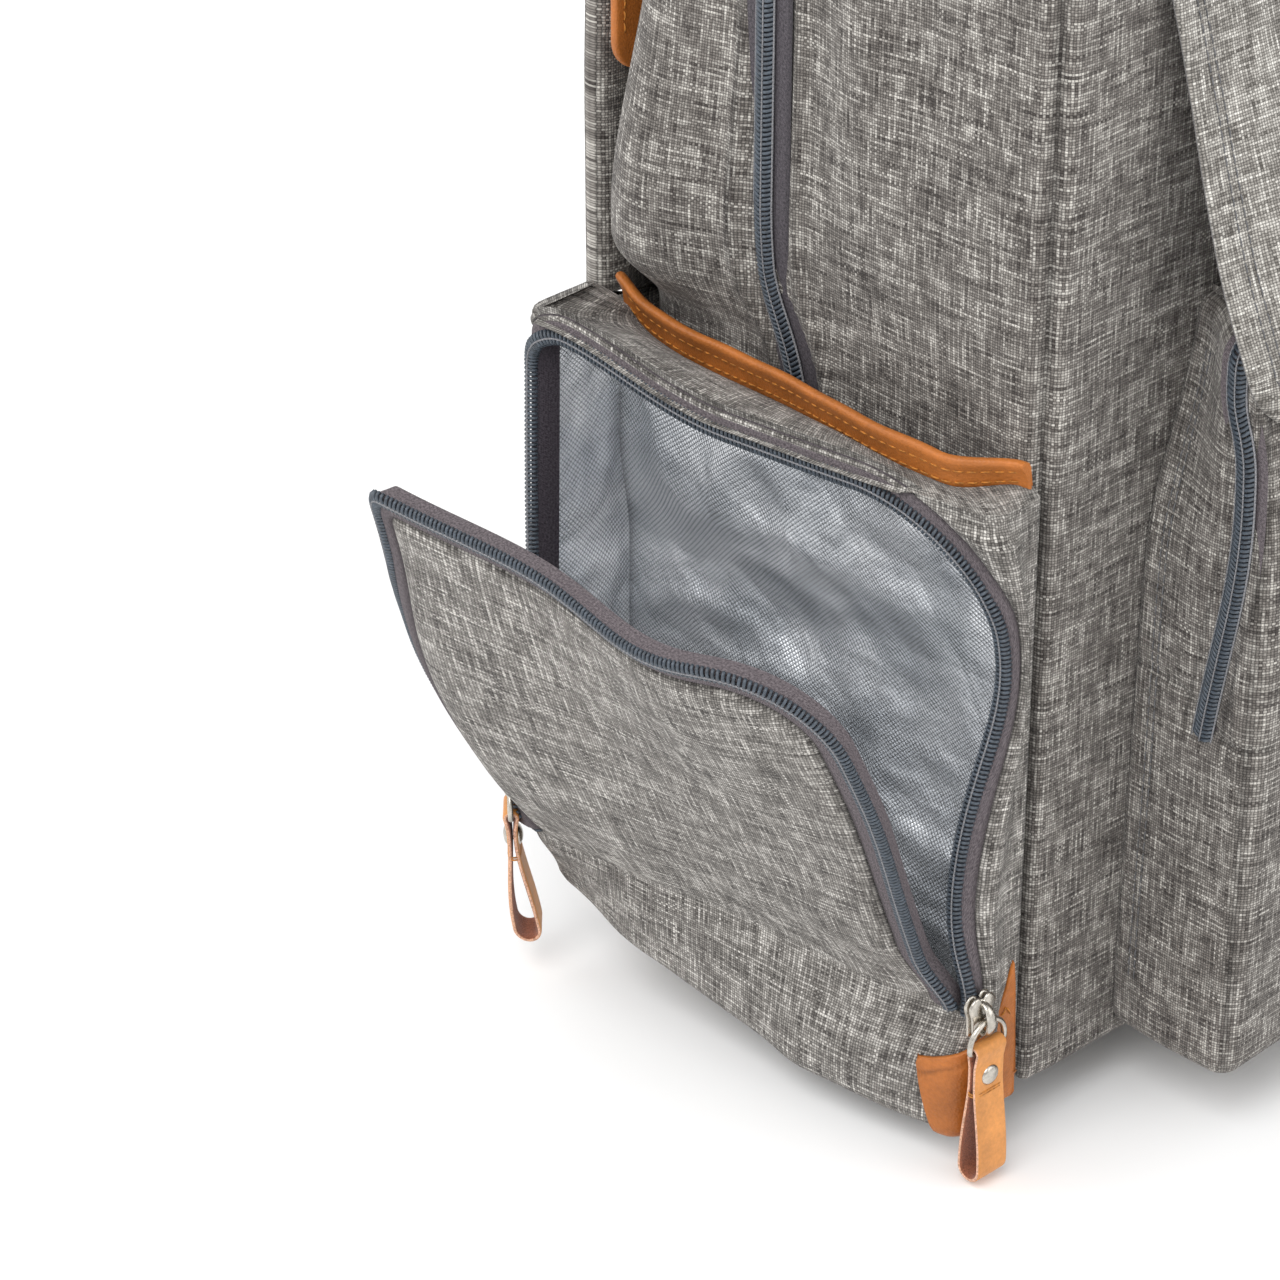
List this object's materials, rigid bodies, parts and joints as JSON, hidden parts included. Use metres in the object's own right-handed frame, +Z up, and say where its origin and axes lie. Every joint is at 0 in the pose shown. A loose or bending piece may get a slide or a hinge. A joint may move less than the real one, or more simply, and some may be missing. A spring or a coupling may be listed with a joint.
{
  "type": "diaper bag",
  "caption": "Heathered cloth diaper backpack with zipped foil-lined side pockets, a lidded front pocket, leather trims and padded straps.",
  "frame": {"origin": "on the ground, under the middle of the main body's base", "axes": "+X to the bag's own left-to-right width as seen from the front, -Y is the front, +Z up"},
  "size_m": [0.4322, 0.229, 0.485],
  "materials": {
    "cloth": "heathered linen-look weave, matte",
    "lid_cloth": "heathered linen-look weave, matte, lighter",
    "zip_tape": "woven tape, matte",
    "zip_coil": "satin nylon coil",
    "leather": "smooth tan imitation leather, satin",
    "pull_leather": "smooth tan leather with raw edges",
    "nickel": "polished nickel",
    "foil_lining": "embossed crinkled foil",
    "black_plastic": "fine-textured moulded plastic",
    "board": "plain stiffening board",
    "inner_lining": "plain lining cloth"
  },
  "bodies": {
    "bag": {"body_shell": "cloth", "base_pad": "cloth", "base_board": "board", "back_panel": "cloth", "sleeve_divider": "inner_lining", "left_main_zip": "zip_coil", "right_main_zip": "zip_coil", "top_zip": "zip_coil", "strap_yoke": "cloth", "left_strap": "cloth", "right_strap": "cloth", "strap_webbings": "zip_tape", "strap_adjusters": "black_plastic", "strap_anchors": "cloth", "left_side_tab": "leather", "right_side_tab": "leather", "handle_anchors": "nickel", "front_pocket": "cloth", "left_gusset_zip": "zip_coil", "right_gusset_zip": "zip_coil", "lid_seam_tape": "zip_tape", "snap_sockets": "nickel", "left_pocket": "cloth", "right_pocket": "cloth", "left_foil_liner": "foil_lining", "right_foil_liner": "foil_lining", "left_pocket_zip": "zip_coil", "right_pocket_zip": "zip_coil", "left_pocket_band": "leather", "right_pocket_band": "leather", "left_corner_patch": "leather", "right_corner_patch": "leather"},
    "left_door": {"left_door": "cloth", "left_door_lining": "foil_lining", "left_door_zip": "zip_coil"},
    "right_door": {"right_door": "cloth", "right_door_lining": "foil_lining", "right_door_zip": "zip_coil"},
    "front_lid": {"front_lid": "lid_cloth", "snap_studs": "nickel"},
    "top_panel": {"top_panel": "cloth", "top_panel_tape": "zip_tape"},
    "carry_handle": {"carry_handle": "leather"},
    "left_front_slider": {"left_front_slider": "nickel"},
    "left_front_pull": {"left_front_pull": "pull_leather"},
    "left_rear_slider": {"left_rear_slider": "nickel"},
    "left_rear_pull": {"left_rear_pull": "pull_leather"},
    "left_gusset_slider": {"left_gusset_slider": "nickel"},
    "left_gusset_pull": {"left_gusset_pull": "pull_leather"},
    "left_top_slider": {"left_top_slider": "nickel"},
    "left_top_pull": {"left_top_pull": "pull_leather"},
    "right_front_slider": {"right_front_slider": "nickel"},
    "right_front_pull": {"right_front_pull": "pull_leather"},
    "right_rear_slider": {"right_rear_slider": "nickel"},
    "right_rear_pull": {"right_rear_pull": "pull_leather"},
    "right_gusset_slider": {"right_gusset_slider": "nickel"},
    "right_gusset_pull": {"right_gusset_pull": "pull_leather"},
    "right_top_slider": {"right_top_slider": "nickel"},
    "right_top_pull": {"right_top_pull": "pull_leather"}
  },
  "joints": [
    {"name": "left_door_hinge", "type": "hinge", "parent": "bag", "child": "left_door", "pos_m": [-0.16, -0.0775, 0.0528], "axis": [0.153, -0.9882, 0], "range_deg": [-24, 66]},
    {"name": "right_door_hinge", "type": "hinge", "parent": "bag", "child": "right_door", "pos_m": [0.16, -0.0775, 0.0528], "axis": [0.153, 0.9882, 0], "range_deg": [0, 90]},
    {"name": "front_lid_hinge", "type": "hinge", "parent": "bag", "child": "front_lid", "pos_m": [0, -0.08, 0.373], "axis": [-1, 0, 0], "range_deg": [0, 150]},
    {"name": "top_panel_hinge", "type": "hinge", "parent": "bag", "child": "top_panel", "pos_m": [0, -0.0732, 0.435], "axis": [1, 0, 0], "range_deg": [0, 100]},
    {"name": "carry_handle_hinge", "type": "hinge", "parent": "bag", "child": "carry_handle", "pos_m": [0, 0.055, 0.443], "axis": [-1, 0, 0], "range_deg": [-45, 85]},
    {"name": "left_front_zip_slide", "type": "slide", "parent": "bag", "child": "left_front_slider", "axis": [0, 0, 1], "range_m": [0, 0.095]},
    {"name": "left_front_pull_hinge", "type": "hinge", "parent": "left_front_slider", "child": "left_front_pull", "pos_m": [-0.1585, -0.0838, 0.053], "axis": [-1, 0, 0], "range_deg": [0, 120]},
    {"name": "left_rear_zip_slide", "type": "slide", "parent": "bag", "child": "left_rear_slider", "axis": [0, 0, 1], "range_m": [0, 0.095]},
    {"name": "left_rear_pull_hinge", "type": "hinge", "parent": "left_rear_slider", "child": "left_rear_pull", "pos_m": [-0.18512, 0.07925, 0.064], "axis": [0.682, 0.7314, 0], "range_deg": [0, 120]},
    {"name": "left_gusset_zip_slide", "type": "slide", "parent": "bag", "child": "left_gusset_slider", "axis": [-1, 0, 0], "range_m": [0, 0.04]},
    {"name": "left_gusset_pull_hinge", "type": "hinge", "parent": "left_gusset_slider", "child": "left_gusset_pull", "pos_m": [-0.0075, -0.1055, 0.2498], "axis": [0, 1, 0], "range_deg": [0, 15]},
    {"name": "left_top_zip_slide", "type": "slide", "parent": "bag", "child": "left_top_slider", "axis": [-1, 0, 0], "range_m": [0, 0.085]},
    {"name": "left_top_pull_hinge", "type": "hinge", "parent": "left_top_slider", "child": "left_top_pull", "pos_m": [-0.0075, 0.0215, 0.4425], "axis": [0, 1, 0], "range_deg": [0, 85]},
    {"name": "right_front_zip_slide", "type": "slide", "parent": "bag", "child": "right_front_slider", "axis": [0, 0, 1], "range_m": [0, 0.095]},
    {"name": "right_front_pull_hinge", "type": "hinge", "parent": "right_front_slider", "child": "right_front_pull", "pos_m": [0.1585, -0.0838, 0.053], "axis": [-1, 0, 0], "range_deg": [0, 120]},
    {"name": "right_rear_zip_slide", "type": "slide", "parent": "bag", "child": "right_rear_slider", "axis": [0, 0, 1], "range_m": [0, 0.095]},
    {"name": "right_rear_pull_hinge", "type": "hinge", "parent": "right_rear_slider", "child": "right_rear_pull", "pos_m": [0.18512, 0.07925, 0.064], "axis": [0.682, -0.7314, 0], "range_deg": [0, 120]},
    {"name": "right_gusset_zip_slide", "type": "slide", "parent": "bag", "child": "right_gusset_slider", "axis": [1, 0, 0], "range_m": [0, 0.04]},
    {"name": "right_gusset_pull_hinge", "type": "hinge", "parent": "right_gusset_slider", "child": "right_gusset_pull", "pos_m": [0.0075, -0.1055, 0.2498], "axis": [0, -1, 0], "range_deg": [0, 15]},
    {"name": "right_top_zip_slide", "type": "slide", "parent": "bag", "child": "right_top_slider", "axis": [1, 0, 0], "range_m": [0, 0.085]},
    {"name": "right_top_pull_hinge", "type": "hinge", "parent": "right_top_slider", "child": "right_top_pull", "pos_m": [0.0075, 0.0215, 0.4425], "axis": [0, -1, 0], "range_deg": [0, 85]}
  ]
}
